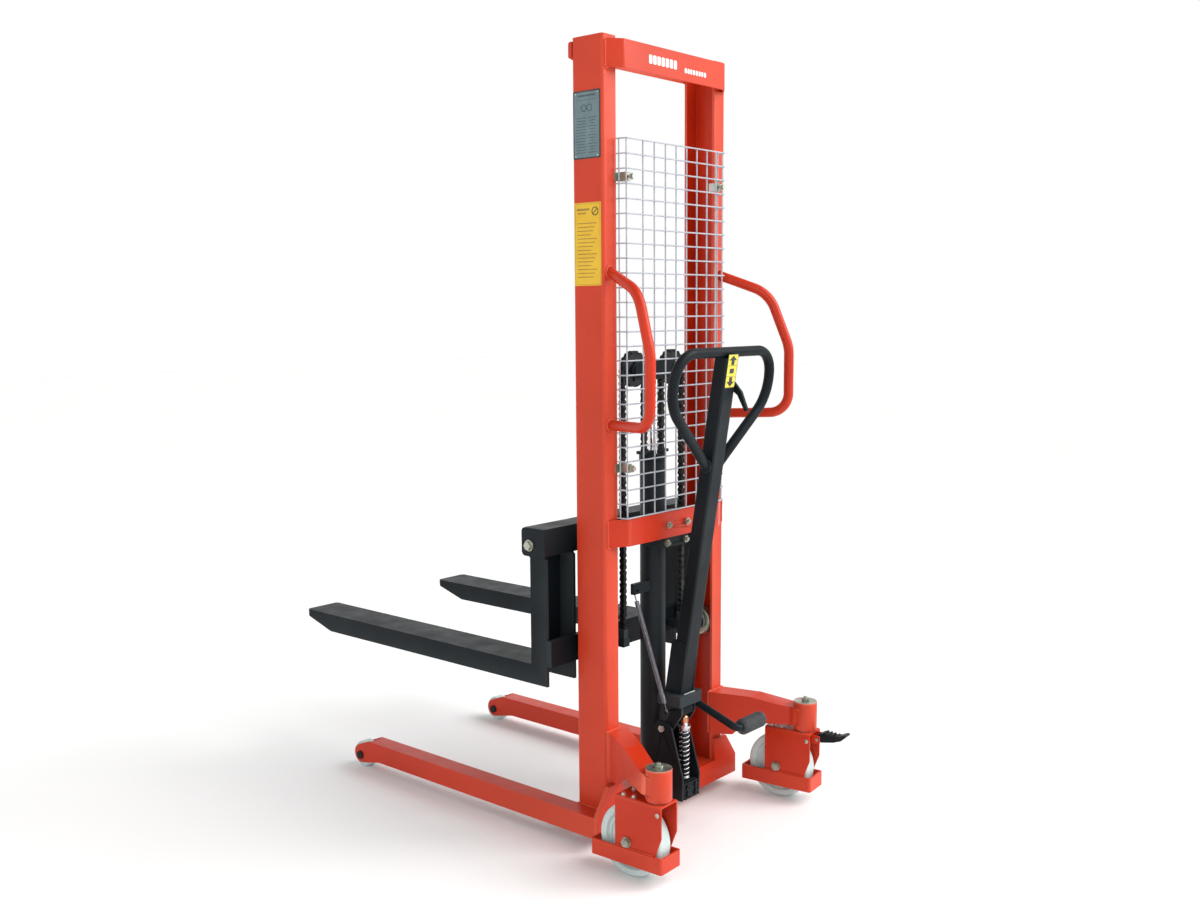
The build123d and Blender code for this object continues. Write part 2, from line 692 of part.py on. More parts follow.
def pump_block():
    low, high = PUMP_BLOCK_Z
    body = block(-PUMP_HALF, PUMP_HALF, -80, -BASE_T, low, high)
    body = chamfer(body.edges().filter_by(Axis.Z).group_by(Axis.Y)[0], 6)
    body += rod_z(0, PUMP_Y, high, BARREL_TOP, BARREL_R) + rod_z(0, PUMP_Y, high, high + 4, 17)
    for side in (-1, 1):
        body += rod_y(side * 18, -84, -80, low + 16, 6)
    return body - rod_z(0, PUMP_Y, low + 12, BARREL_TOP + 1, PUMP_ROD_R + 0.06)


def pump_cheek():
    outline = ((-BASE_T, 66), (-78, 66), (-80, 128), (-42, 258), (-28, 270), (2, 270), (14, 256), (14, 130), (-BASE_T, 98))
    return along_x(outline, *CHEEK_X) - rod_x(20, 50, PIVOT_Y, PIVOT_Z, PIVOT_R)


def rocker_pin():
    pin = rod_x(-CHEEK_X[1], CHEEK_X[1], PIVOT_Y, PIVOT_Z, PIVOT_R)
    for face in (-CHEEK_X[1] - 6, CHEEK_X[1]):
        pin += hex_x(face, face + 6, PIVOT_Y, PIVOT_Z, 17)
    return pin


def pump_spring():
    outer = PUMP_SPRING_R + PUMP_SPRING_WIRE / 2
    inner = PUMP_SPRING_R - PUMP_SPRING_WIRE / 2
    low = PUMP_BLOCK_Z[1] + 4
    return rod_z(0, PUMP_Y, low, PUMP_CAP_Z, outer) - rod_z(0, PUMP_Y, low - 1, PUMP_CAP_Z + 1, inner)


def pump_piston():
    piston = rod_z(0, PUMP_Y, 148, PUMP_CAP_Z, PUMP_ROD_R)
    piston += rod_z(0, PUMP_Y, PUMP_CAP_Z, PUMP_CAP_Z + 6, 16)
    piston += rod_z(0, PUMP_Y, PUMP_CAP_Z + 6, PUMP_HEAD_Z - 9, 9)
    return piston + Pos(0, PUMP_Y, PUMP_HEAD_Z - 9) * Sphere(9)


def return_spring():
    return rod_between(SPRING_END, SPRING_TOP, SPRING_R)


def rocker():
    outline = ((-70, ROCKER_TOP - 10), (-70, 296), (-30, 238), (4, 238), (6, 262), (-4, ROCKER_TOP - 10))
    shape = along_x(outline, *ROCKER_X) + along_x(outline, -ROCKER_X[1], -ROCKER_X[0])
    shape += block(-ROCKER_HALF, ROCKER_HALF, -64, -2, ROCKER_TOP - 26, ROCKER_TOP)
    shape -= rod_x(-50, 50, PIVOT_Y, PIVOT_Z, PIVOT_R + 0.06)
    shape += rod_x(-ROCKER_X[0], ROCKER_X[0], PUMP_Y, PUMP_HEAD_Z + 12.5, 12)
    return shape + rod_x(SPRING_END[0] - 8, -ROCKER_X[1], SPRING_END[1], SPRING_END[2] - 8, 4)


def tilt(shape):
    """Stands a shape drawn along +Z at the foot of the tiller and leans it back."""
    return Pos(0, *TUBE_FOOT) * Rot(LEAN, 0, 0) * shape


def loop_path():
    left = list(LOOP_PATH)
    right = [(-x, s) for x, s in reversed(left)]
    return FilletPolyline(*[(x, 0, s) for x, s in left + right], radius=list(LOOP_BENDS))


def tiller_tube():
    bar = Pos(0, 0, TUBE_LEN / 2 - 10) * Box(TUBE_W, TUBE_D, TUBE_LEN + 20)
    bar = fillet(bar.edges().filter_by(Axis.Z), 5)
    bar -= Pos(0, 0, TUBE_LEN / 2) * Box(TUBE_W - 2 * TUBE_WALL, TUBE_D - 2 * TUBE_WALL, TUBE_LEN - 14)
    bar -= bent_rod(loop_path(), LOOP_R).solids()[0] & Pos(0, 0, 912) * Box(200, 60, 60)
    return tilt(bar) - block(-60, 60, -120, 60, 200, ROCKER_TOP)


def tiller_loop():
    loop = bent_tube(loop_path(), LOOP_R, LOOP_WALL)
    return tilt(loop - Pos(0, 0, 640) * Box(TUBE_W, TUBE_D, 260))


def foot_pedal():
    arm = bent_rod(FilletPolyline(*PEDAL_PATH, radius=16), PEDAL_R)
    return arm - rocker()


def pedal_sleeve():
    x0, x1 = SLEEVE_X
    y, z = PEDAL_PATH[1][1:]
    sleeve = rod_x(x0, x1, y, z, SLEEVE_R)
    sleeve = fillet(sleeve.edges().filter_by(GeomType.CIRCLE), 3)
    return sleeve - rod_x(x0 - 1, x1 - 1.8, y, z, PEDAL_R + 0.1)


def control_lever():
    y, z = LEVER_PIVOT
    tip_y, tip_z = LEVER_TIP
    boss = Pos(y, z) * Circle(11)
    mid = Pos((y + tip_y) / 2 - 4, (z + tip_z) / 2 + 8) * Circle(7)
    tip = Pos(tip_y, tip_z) * Circle(4.5)
    shape = make_hull(boss.edges() + mid.edges()) + make_hull(mid.edges() + tip.edges())
    lever = Pos(LEVER_X[0], 0, 0) * extrude(Plane.YZ * shape, amount=LEVER_X[1] - LEVER_X[0])
    return lever


def lever_pin():
    y, z = LEVER_PIVOT
    return rod_x(LEVER_X[0], LEVER_X[1] + 4, y, z, 5)


def model():
    column = mast_column()
    straddle = leg()
    axle = load_axle()
    roller = load_roller()
    chains = CHAIN_PITCH_R + SHEAVE_X
    inner_chain = chain_strand(SHEAVE_X - CHAIN_PITCH_R, ANCHOR_TOP)
    outer_chain = chain_strand(chains, CHAIN_END_Z)
    disc = sheave()
    right_fork = fork()
    parts = {
        "mast_column_left": other_side(column),
        "mast_column_right": column,
        "top_cross_plate": top_cross_plate(),
        "top_front_plate": top_front_plate(),
        "lower_cross_plate": lower_cross_plate(),
        "base_rear_plate": base_rear_plate(),
        "base_crossmember": base_crossmember(),
        "leg_left": other_side(straddle),
        "leg_right": straddle,
        "load_axles": pair(axle),
        "load_roller_left": other_side(roller),
        "load_roller_right": roller,
        "caster_arms": pair(caster_arm()),
        "swivel_housings": swivel_housing() + [other_side(piece) for piece in swivel_housing()],
        "grab_handle_left": grab_handle(-1),
        "grab_handle_right": grab_handle(1),
        "guard_mesh": guard_mesh(),
        "mesh_clips": mesh_clips(),
        "lift_cylinder": lift_cylinder(),
        "cylinder_gland": cylinder_gland(),
        "cylinder_saddle": cylinder_saddle(),
        "u_bolts": u_bolts(),
        "inner_chains": pair(inner_chain),
        "outer_chains": pair(outer_chain),
        "chain_wraps": pair(chain_wrap()),
        "sheave_left": other_side(disc),
        "sheave_right": disc,
        "crosshead": crosshead(),
        "piston_rod": piston_rod(),
        "upper_beam": upper_beam(),
        "lower_beam": lower_beam(),
        "carriage_sides": pair(carriage_side()),
        "fork_shaft": fork_shaft(),
        "fork_left": other_side(right_fork),
        "fork_right": right_fork,
        "pump_block": pump_block(),
        "pump_cheeks": pair(pump_cheek()),
        "rocker_pin": rocker_pin(),
        "pump_spring": pump_spring(),
        "pump_piston": pump_piston(),
        "return_spring": return_spring(),
        "rocker": rocker(),
        "tiller_tube": [tiller_tube(), lever_pin()],
        "tiller_loop": tiller_loop(),
        "foot_pedal": foot_pedal(),
        "pedal_sleeve": pedal_sleeve(),
        "control_lever": control_lever() - rod_x(0, 60, *LEVER_PIVOT, 5.06),
        "brake_pedal": brake_pedal(),
    }
    for side, name in ((-1, "left"), (1, "right")):
        parts[f"caster_yoke_{name}"] = caster_yoke(side)
        parts[f"foot_guard_{name}"] = foot_guard(side)
        parts[f"caster_pins_{name}"] = caster_pins(side)
        parts[f"caster_wheel_{name}"] = wheel(side)
        for level, z in zip(("lower", "upper"), ROLLER_Z):
            piece = carriage_roller(z)
            parts[f"carriage_roller_{level}_{name}"] = piece if side > 0 else other_side(piece)
    return parts


def export(parts):
    os.makedirs("parts", exist_ok=True)
    shift = Location((-ORIGIN_X, -ORIGIN_Y, 0))
    for name, shape in parts.items():
        pieces = shape if isinstance(shape, list) else [shape]
        solids = [solid.moved(shift) for piece in pieces for solid in piece.solids()]
        export_step(Compound(children=solids) if len(solids) > 1 else solids[0], f"parts/{name}.step")


if __name__ == "__main__":
    export(model())
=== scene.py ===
import json
import math
import random

import bpy
from mathutils import Matrix, Vector


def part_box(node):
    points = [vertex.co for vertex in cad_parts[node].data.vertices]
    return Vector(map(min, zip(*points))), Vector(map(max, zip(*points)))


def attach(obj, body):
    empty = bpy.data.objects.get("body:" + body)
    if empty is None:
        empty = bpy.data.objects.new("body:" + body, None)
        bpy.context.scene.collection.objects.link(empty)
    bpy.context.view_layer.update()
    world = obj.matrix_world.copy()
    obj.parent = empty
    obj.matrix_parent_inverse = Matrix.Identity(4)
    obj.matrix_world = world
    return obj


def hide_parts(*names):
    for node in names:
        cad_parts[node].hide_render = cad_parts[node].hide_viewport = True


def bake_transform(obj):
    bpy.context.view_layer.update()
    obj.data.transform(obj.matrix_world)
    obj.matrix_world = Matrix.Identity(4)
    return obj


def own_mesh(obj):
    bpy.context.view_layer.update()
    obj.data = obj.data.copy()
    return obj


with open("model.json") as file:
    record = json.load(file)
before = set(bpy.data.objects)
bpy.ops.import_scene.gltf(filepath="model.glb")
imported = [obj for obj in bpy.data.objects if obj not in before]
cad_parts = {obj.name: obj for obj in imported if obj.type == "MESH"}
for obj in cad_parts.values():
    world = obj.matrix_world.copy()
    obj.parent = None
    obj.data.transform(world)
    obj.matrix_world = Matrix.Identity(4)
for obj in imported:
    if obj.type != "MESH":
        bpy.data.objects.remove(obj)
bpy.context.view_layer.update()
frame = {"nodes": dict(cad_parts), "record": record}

# The mast's mid-plane and rear face place most of what is added: at() takes metres measured from them.
MAST_X = (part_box("mast_column_left")[0].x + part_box("mast_column_right")[1].x) / 2
MAST_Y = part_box("mast_column_left")[0].y
MAST_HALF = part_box("mast_column_right")[1].x - MAST_X
MAST_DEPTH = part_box("mast_column_left")[1].y - MAST_Y
SIDES = {"left": -1, "right": 1}

# Camera
CAMERA_AT = Vector((-2.556, -2.351, 1.350))
CAMERA_YAW = math.radians(49.39)
CAMERA_PITCH = math.radians(6.94)
CAMERA_ROLL = math.radians(-0.38)
CAMERA_LENS = 37.35

# Brightness of the world low down and overhead, and half the floor
WALL_GLOW = 1.0
OVERHEAD_GLOW = 0.30
FLOOR_HALF = 24.0

# Casters: how far each is turned, where its swivel stands, its trail, its wheel's radius, and where its arm
# starts on the column
TURN = {"left": math.radians(2), "right": math.radians(6)}
SWIVEL = (0.328, -0.226)
TRAIL = 0.070
WHEEL_R = 0.090
ARM_ROOT = 0.184

# Grab handles: distance of their ends from the mid-plane, height of the upper end, and tube radius
HANDLE_X = 0.228
HANDLE_TOP = 1.442
HANDLE_R = 0.013

# Tiller: foot of its centre line, and its lean
TILLER_FOOT = (-0.0422, 0.345)
TILLER_LEAN = math.radians(9.15)

X, Y, Z = Vector((1, 0, 0)), Vector((0, 1, 0)), Vector((0, 0, 1))

# Faces that carry labels, each as its directions across, up and outwards
TILLER_UP = Vector((0, -math.sin(TILLER_LEAN), math.cos(TILLER_LEAN)))
TILLER_BACK = Vector((0, -math.cos(TILLER_LEAN), -math.sin(TILLER_LEAN)))
LEFT_FACE = (-Y, Z, -X)
REAR_FACE = (X, Z, -Y)
TILLER_FACE = (X, TILLER_UP, TILLER_BACK)

# Chains: length of a link, thickness of its plates, and half the width of a strand from side to side
LINK_PITCH = 0.01588
LINK_T = 0.0015
LINK_HALF = 0.0065

# Thickness of printed marks, and the distance between the rings of points along a weld bead
INK_T = 0.0002
WELD_STEP = 0.0012

random.seed(11)


def at(x, y, z):
    """A point in metres from the mast's mid-plane and rear face."""
    return Vector((MAST_X + x, MAST_Y + y, z))


def on_caster(name, x, y, z):
    """A point given from the swivel axis of a caster, along and across its fork."""
    side, turn = SIDES[name], TURN[name]
    across = x * math.cos(turn) - y * math.sin(turn)
    along = x * math.sin(turn) + y * math.cos(turn)
    return at(side * SWIVEL[0] + across, SWIVEL[1] + along, z)


def on_tiller(x, up, rear=0.0):
    """A point given along the tiller tube from its foot; rear is the distance behind its centre line."""
    y = TILLER_FOOT[0] - up * math.sin(TILLER_LEAN) - rear * math.cos(TILLER_LEAN)
    z = TILLER_FOOT[1] + up * math.cos(TILLER_LEAN) - rear * math.sin(TILLER_LEAN)
    return at(x, y, z)


# ---------------------------------------------------------------- materials


def new_material(name):
    material = bpy.data.materials.new(name)
    material.use_nodes = True
    return material


def shader_of(material):
    return material.node_tree.nodes["Principled BSDF"]


def noise(material, scale, detail=3.0, stretch=(1, 1, 1)):
    """A noise value over the object's own coordinates, in metres."""
    tree = material.node_tree
    coordinates = tree.nodes.new("ShaderNodeTexCoord")
    mapping = tree.nodes.new("ShaderNodeMapping")
    mapping.inputs["Scale"].default_value = stretch
    texture = tree.nodes.new("ShaderNodeTexNoise")
    texture.inputs["Scale"].default_value = scale
    texture.inputs["Detail"].default_value = detail
    tree.links.new(coordinates.outputs["Object"], mapping.inputs["Vector"])
    tree.links.new(mapping.outputs["Vector"], texture.inputs["Vector"])
    return texture.outputs["Fac"]


def ramp(material, value, stops):
    """Colours along a value: stops are (place, colour)."""
    stops = tuple(stops)
    node = material.node_tree.nodes.new("ShaderNodeValToRGB")
    ramp_stops = node.color_ramp.elements
    while len(ramp_stops) < len(stops):
        ramp_stops.new(0.5)
    for stop, (place, colour) in zip(ramp_stops, stops):
        stop.position = place
        stop.color = (*colour, 1)
    material.node_tree.links.new(value, node.inputs["Fac"])
    return node.outputs["Color"]


def spread(material, value, low, high, start=0.3, end=0.7):
    """Maps a value from start to end onto low to high."""
    node = material.node_tree.nodes.new("ShaderNodeMapRange")
    node.inputs["From Min"].default_value = start
    node.inputs["From Max"].default_value = end
    node.inputs["To Min"].default_value = low
    node.inputs["To Max"].default_value = high
    material.node_tree.links.new(value, node.inputs["Value"])
    return node.outputs["Result"]


def mix(material, share, tone, colour):
    """Mixes a plain colour into a tone by a share."""
    node = material.node_tree.nodes.new("ShaderNodeMix")
    node.data_type = "RGBA"
    material.node_tree.links.new(share, node.inputs[0])
    material.node_tree.links.new(tone, node.inputs[6])
    node.inputs[7].default_value = (*colour, 1)
    return node.outputs[2]


def bump(material, height, strength, distance, below=None):
    node = material.node_tree.nodes.new("ShaderNodeBump")
    node.inputs["Strength"].default_value = strength
    node.inputs["Distance"].default_value = distance
    material.node_tree.links.new(height, node.inputs["Height"])
    if below is not None:
        material.node_tree.links.new(below, node.inputs["Normal"])
    return node.outputs["Normal"]


def edges(material, start, end):
    """One on sharp outer edges, nought on flat faces."""
    geometry = material.node_tree.nodes.new("ShaderNodeNewGeometry")
    return spread(material, geometry.outputs["Pointiness"], 0.0, 1.0, start, end)


def surface(material, tone, normal, grain, low, high):
    """Joins the colour, the bump and a roughness from low to high that follows a noise of (scale, detail)."""
    rough = spread(material, noise(material, *grain), low, high)
    for name, output in (("Base Color", tone), ("Roughness", rough), ("Normal", normal)):
        if output is not None:
            material.node_tree.links.new(output, shader_of(material).inputs[name])


def settings(material, **values):
    """Sets plain values on the shader's sockets, named with _ for a space."""
    for name, value in values.items():
        shader_of(material).inputs[name.replace("_", " ")].default_value = value


def enamel(name, tones, pale_tone, low, high, specular, coat):
    """Sprayed enamel: slow changes of tone, orange peel, pale flecks, and outer edges lightened as a painted
    highlight.
    """
    material = new_material(name)
    tone = ramp(material, noise(material, 4, 4), zip((0.3, 0.5, 0.7), tones))
    flecks = spread(material, noise(material, 220, 2), 0.0, 0.10, 0.62, 0.75)
    tone = mix(material, flecks, tone, pale_tone)
    # Painted highlight: the sharp outer edges are lightened towards the pale tone.
    tone = mix(material, edges(material, 0.53, 0.62), tone, pale_tone)
    peel = bump(material, noise(material, 420, 2), 0.10, 0.0006)
    waves = bump(material, noise(material, 26, 2), 0.06, 0.004, peel)
    surface(material, tone, waves, (15, 4), low, high)
    settings(material, Specular_IOR_Level=specular, Coat_Weight=coat, Coat_Roughness=0.12)
    return material


def red_enamel():
    tones = ((0.48, 0.024, 0.004), (0.54, 0.028, 0.005), (0.60, 0.034, 0.007))
    # Pale tone for the random flecks and for the painted edge highlight.
    return enamel("red_enamel", tones, (0.80, 0.14, 0.07), 0.30, 0.44, 0.25, 0.08)


def black_enamel():
    tones = ((0.005, 0.008, 0.010), (0.008, 0.012, 0.015), (0.012, 0.018, 0.022))
    # Pale tone for the random flecks and for the painted edge highlight.
    return enamel("black_enamel", tones, (0.045, 0.055, 0.06), 0.36, 0.52, 0.12, 0.03)


def zinc_plate():
    material = new_material("zinc_plate")
    shades = ((0.32, (0.20, 0.25, 0.20)), (0.5, (0.36, 0.38, 0.31)), (0.68, (0.45, 0.38, 0.30)))
    patches = ramp(material, noise(material, 55, 5), shades)
    # The sharp outer edges are lighter, towards a pale grey.
    pale_tone = mix(material, edges(material, 0.52, 0.6), patches, (0.7, 0.7, 0.66))
    lines = bump(material, noise(material, 300, 3, (1, 1, 0.15)), 0.15, 0.0004)
    surface(material, pale_tone, lines, (90, 4), 0.26, 0.46)
    settings(material, Metallic=0.92)
    return material


def bright_steel(name, dark, light, low, high):
    material = new_material(name)
    tone = ramp(material, noise(material, 130, 4), ((0.3, dark), (0.7, light)))
    draw_lines = bump(material, noise(material, 900, 2, (1, 1, 0.1)), 0.08, 0.0002)
    surface(material, tone, draw_lines, (60, 4), low, high)
    settings(material, Metallic=1.0)
    return material


def spring_wire():
    return bright_steel("spring_wire", (0.58, 0.60, 0.64), (0.80, 0.81, 0.83), 0.20, 0.34)


def dull_wire():
    return bright_steel("dull_wire", (0.22, 0.23, 0.26), (0.36, 0.37, 0.40), 0.34, 0.50)


def hard_chrome():
    return bright_steel("hard_chrome", (0.78, 0.79, 0.80), (0.88, 0.88, 0.88), 0.06, 0.14)


def bronze():
    return bright_steel("bronze", (0.56, 0.27, 0.15), (0.74, 0.42, 0.26), 0.24, 0.40)


def oiled_chain():
    material = new_material("oiled_chain")
    shades = ((0.35, (0.012, 0.013, 0.014)), (0.55, (0.030, 0.031, 0.032)), (0.75, (0.08, 0.07, 0.055)))
    tone = ramp(material, noise(material, 160, 4), shades)
    rough = bump(material, noise(material, 700, 3), 0.2, 0.0004)
    surface(material, tone, rough, (70, 4), 0.26, 0.55)
    settings(material, Metallic=0.75)
    return material


def cast_sheave():
    material = new_material("cast_sheave")
    shades = ((0.35, (0.016, 0.018, 0.020)), (0.65, (0.04, 0.043, 0.046)))
    tone = ramp(material, noise(material, 45, 5), shades)
    turned = bump(material, noise(material, 500, 3), 0.25, 0.0006)
    surface(material, tone, turned, (40, 4), 0.30, 0.5)
    settings(material, Metallic=0.6)
    return material


def mesh_coating():
    material = new_material("mesh_coating")
    tone = ramp(material, noise(material, 40, 3), ((0.35, (0.36, 0.39, 0.44)), (0.65, (0.46, 0.49, 0.54))))
    powder = bump(material, noise(material, 900, 2), 0.15, 0.0003)
    surface(material, tone, powder, (50, 3), 0.28, 0.42)
    settings(material, Coat_Weight=0.2)
    return material


def nylon():
    material = new_material("nylon")
    tone = ramp(material, noise(material, 9, 4), ((0.3, (0.46, 0.58, 0.57)), (0.7, (0.62, 0.71, 0.70))))
    scuffs = spread(material, noise(material, 70, 6, (3, 1, 1)), 0.0, 0.35, 0.58, 0.75)
    tone = mix(material, scuffs, tone, (0.30, 0.37, 0.36))
    grain = bump(material, noise(material, 350, 3), 0.08, 0.0005)
    surface(material, tone, grain, (20, 4), 0.34, 0.5)
    settings(material, Subsurface_Weight=0.08, Subsurface_Radius=(0.01, 0.01, 0.01))
    return material


def grip_rubber():
    material = new_material("grip_rubber")
    shades = ((0.35, (0.045, 0.050, 0.055)), (0.65, (0.085, 0.092, 0.098)))
    tone = ramp(material, noise(material, 60, 4), shades)
    grain = bump(material, noise(material, 800, 3), 0.3, 0.0004)
    surface(material, tone, grain, (30, 4), 0.45, 0.65)
    return material


def printed(name, dark, light, low=0.3, high=0.42):
    """Printed film: almost even colour with slight fading and a fine texture."""
    material = new_material(name)
    tone = ramp(material, noise(material, 25, 4), ((0.3, dark), (0.7, light)))
    film = bump(material, noise(material, 300, 2), 0.05, 0.0003)
    surface(material, tone, film, (30, 3), low, high)
    return material


MATERIALS = {
    "red_paint": red_enamel(),
    "black_paint": black_enamel(),
    "zinc_steel": zinc_plate(),
    "spring_steel": spring_wire(),
    "chrome_rod": hard_chrome(),
    "cast_sheave": cast_sheave(),
    "chain_steel": oiled_chain(),
    "mesh_wire": mesh_coating(),
    "nylon": nylon(),
    "grip_rubber": grip_rubber(),
}
BRONZE = bronze()
DULL_WIRE = dull_wire()
YELLOW_FILM = printed("yellow_film", (0.72, 0.42, 0.012), (0.80, 0.50, 0.02))
DECAL_YELLOW = printed("decal_yellow", (0.74, 0.60, 0.045), (0.84, 0.69, 0.06))
PLATE_GREY = printed("plate_grey", (0.115, 0.175, 0.19), (0.145, 0.215, 0.23))
PRINT_DARK = printed("print_dark", (0.020, 0.022, 0.024), (0.04, 0.042, 0.044))
PRINT_WHITE = printed("print_white", (0.80, 0.78, 0.76), (0.88, 0.87, 0.86))
LABEL_LINES = printed("label_lines", (0.30, 0.17, 0.02), (0.38, 0.23, 0.03))
PLATE_LINES = printed("plate_lines", (0.045, 0.07, 0.078), (0.065, 0.095, 0.10))


# ---------------------------------------------------------------- mesh building


def piece(name, parts, body, slot, material=None, angle=35):
    """An object from lists of (vertices, faces), riding on a body. body None leaves it unattached."""
    vertices, faces = [], []
    for part_vertices, part_faces in parts:
        start = len(vertices)
        vertices += [tuple(v) for v in part_vertices]
        faces += [tuple(start + i for i in face) for face in part_faces]
    mesh = bpy.data.meshes.new(name)
    mesh.from_pydata(vertices, [], faces)
    mesh.validate()
    mesh.shade_smooth()
    mesh.set_sharp_from_angle(angle=math.radians(angle))
    mesh.materials.append(material or MATERIALS[slot])
    thing = bpy.data.objects.new(name, mesh)
    bpy.context.scene.collection.objects.link(thing)
    if body:
        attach(thing, body)
    return thing


def ring_faces(rows, sides):
    """Faces of a skin over rows of points, closed at both ends."""
    faces = []
    for i in range(rows - 1):
        for k in range(sides):
            a, b = i * sides + k, i * sides + (k + 1) % sides
            faces.append((a, b, b + sides, a + sides))
    faces.append(tuple(reversed(range(sides))))
    faces.append(tuple((rows - 1) * sides + k for k in range(sides)))
    return faces


def tube(points, radius, sides=10):
    """A round bar along points. radius is a number or a function of the point's index."""
    points = [Vector(p) for p in points]
    size = radius if callable(radius) else lambda _: radius
    tangents = [
        (points[min(i + 1, len(points) - 1)] - points[max(i - 1, 0)]).normalized() for i in range(len(points))
    ]
    normal = tangents[0].orthogonal().normalized()
    vertices = []
    for i, (point, tangent) in enumerate(zip(points, tangents)):
        normal = (normal - tangent * normal.dot(tangent)).normalized()
        across = tangent.cross(normal)
        for k in range(sides):
            angle = math.tau * k / sides
            vertices.append(point + size(i) * (math.cos(angle) * normal + math.sin(angle) * across))
    return vertices, ring_faces(len(points), sides)


def lathe(profile, centre, axis, sides=40):
    """A turned solid: profile is (distance along the axis, radius), from end to end."""
    axis = axis.normalized()
    first = axis.orthogonal().normalized()
    second = axis.cross(first)
    vertices = []
    for along, r in profile:
        for k in range(sides):
            angle = math.tau * k / sides
            outwards = math.cos(angle) * first + math.sin(angle) * second
            vertices.append(centre + along * axis + max(r, 1e-5) * outwards)
    return vertices, ring_faces(len(profile), sides)


def plate(outline, thickness, origin, across, up, out):
    """A flat piece: an outline of (across, up) points, from origin outwards by thickness."""
    count = len(outline)
    low = [origin + u * across + v * up for u, v in outline]
    vertices = low + [p + thickness * out for p in low]
    faces = [tuple(reversed(range(count))), tuple(range(count, 2 * count))]
    faces += [(i, (i + 1) % count, count + (i + 1) % count, count + i) for i in range(count)]
    if across.cross(up).dot(out) < 0:
        faces = [tuple(reversed(face)) for face in faces]
    return vertices, faces


def rounded(width, height, radius, steps=5):
    """A rounded rectangle about the origin."""
    points = []
    for cx, cy, start in ((1, 1, 0), (-1, 1, 90), (-1, -1, 180), (1, -1, 270)):
        for k in range(steps + 1):
            angle = math.radians(start + 90 * k / steps)
            x = cx * (width / 2 - radius) + radius * math.cos(angle)
            y = cy * (height / 2 - radius) + radius * math.sin(angle)
            points.append((x, y))
    return points


def patch(width, height, radius, thickness, origin, face, steps=5):
    """A flat rounded rectangle on a face; origin is its centre."""
    return plate(rounded(width, height, radius, steps), thickness, origin, *face)


def on_face(origin, face, across, up):
    """A point of a face, across and up from its origin."""
    return origin + across * face[0] + up * face[1]


def resample(points, step):
    """Points every step along straight runs."""
    result = [points[0]]
    for start, end in zip(points, points[1:]):
        count = max(1, round((end - start).length / step))
        result += [start.lerp(end, (k + 1) / count) for k in range(count)]
    return result


def weld(name, runs, body, slot="red_paint", radius=0.0026):
    """Weld beads along runs of points: ripples every few millimetres, and a slightly uneven width."""
    beads = []
    for run in runs:
        points = resample(run, WELD_STEP)
        phase = random.uniform(0, math.tau)
        width = []
        for k in range(len(points)):
            ripple = 0.16 * math.sin(1.9 * k + phase) + 0.10 * math.sin(0.13 * k + phase)
            width.append(radius * (1 + ripple))
        width[0] = width[-1] = radius * 0.45
        beads.append(tube(points, lambda k, width=width: width[k], 8))
    return piece(name, beads, body, slot, angle=80)


def washer_and_head(centre, axis, across, height, washer):
    """A hexagon head with a chamfered top, on a washer."""
    disc = ((0, 0.6 * washer), (0, washer), (0.0012, washer), (0.0016, 0.95 * washer))
    start, corner = 0.0016, across / math.sqrt(3)
    head = ((start, corner), (start + 0.82 * height, corner), (start + height, 0.86 * corner))
    return [lathe(disc, centre, axis, 28), lathe(head, centre, axis, 6)]


def circle(centre, axis, radius, steps=40):
    """Points round a full circle, the first and the last the same."""
    axis = axis.normalized()
    first = axis.orthogonal().normalized()
    second = axis.cross(first)
    angles = [math.tau * k / steps for k in range(steps + 1)]
    return [centre + radius * (math.cos(a) * first + math.sin(a) * second) for a in angles]


# ---------------------------------------------------------------- CAD nodes


def dress_nodes():
    """Gives each CAD node the material of its slot, and the machined or folded ones a small edge radius."""
    sharp = {"guard_mesh", "inner_chains", "outer_chains", "chain_wraps", "pump_spring", "return_spring"}
    small = {"rocker_pin", "load_axles", "u_bolts", "mesh_clips", "fork_shaft"}
    small |= {f"caster_pins_{name}" for name in SIDES}
    for entry in frame["record"]["subparts"]:
        node = frame["nodes"][entry["node"]]
        node.data.materials.clear()
        node.data.materials.append(MATERIALS[entry["material_slot"]])
        if entry["node"] in sharp:
            continue
        weld_points = node.modifiers.new("join", "WELD")
        weld_points.merge_threshold = 0.00002
        edge = node.modifiers.new("edge", "BEVEL")
        edge.width = 0.0005 if entry["node"] in small else 0.0013
        edge.segments = 2
        edge.limit_method = "ANGLE"
        edge.angle_limit = math.radians(40)
        edge.harden_normals = True


# ---------------------------------------------------------------- chains and springs


# Middles of the plates of even and of odd links, across the chain
LINK_PLATES = ((-0.0062, -0.0021, 0.0021, 0.0062), (-0.0046, 0.0, 0.0046))
PIN_PROFILE = ((-0.0074, 0.0018), (-0.0071, 0.0027), (0.0071, 0.0027), (0.0074, 0.0018))


def link_outline(pitch, end=0.0070, waist=0.0042):
    """A figure-of-eight chain plate, its pitch along the first coordinate."""
    points = []
    for side in (1, -1):
        for k in range(9):
            angle = math.radians(-90 + 180 * k / 8)
            points.append((side * (pitch / 2 + end * math.cos(angle)), side * end * math.sin(angle)))
        points.append((0, side * waist))
    return points


def leaf_chain(pins):
    """Leaf chain over a list of pin centres in one XZ plane: plates in turn, and a pin through each joint."""
    parts = []
    for k, (start, end) in enumerate(zip(pins, pins[1:])):
        along = (end - start).normalized()
        up = along.cross(Y)
        outline = link_outline((end - start).length)
        for y in LINK_PLATES[k % 2]:
            origin = (start + end) / 2 + (y - LINK_T / 2) * Y
            parts.append(plate(outline, LINK_T, origin, along, up, Y))
    return parts + [lathe(PIN_PROFILE, pin, Y, 10) for pin in pins]


def strand_x(box, side):
    """The middle of a strand of chain, from the box of both strands."""
    return (box[1].x if side > 0 else box[0].x) - side * LINK_HALF


def straight_chain(x, y, low, high):
    """A straight strand of chain from low to high."""
    count = round((high - low) / LINK_PITCH)
    return leaf_chain([Vector((x, y, low + (high - low) * k / count)) for k in range(count + 1)])


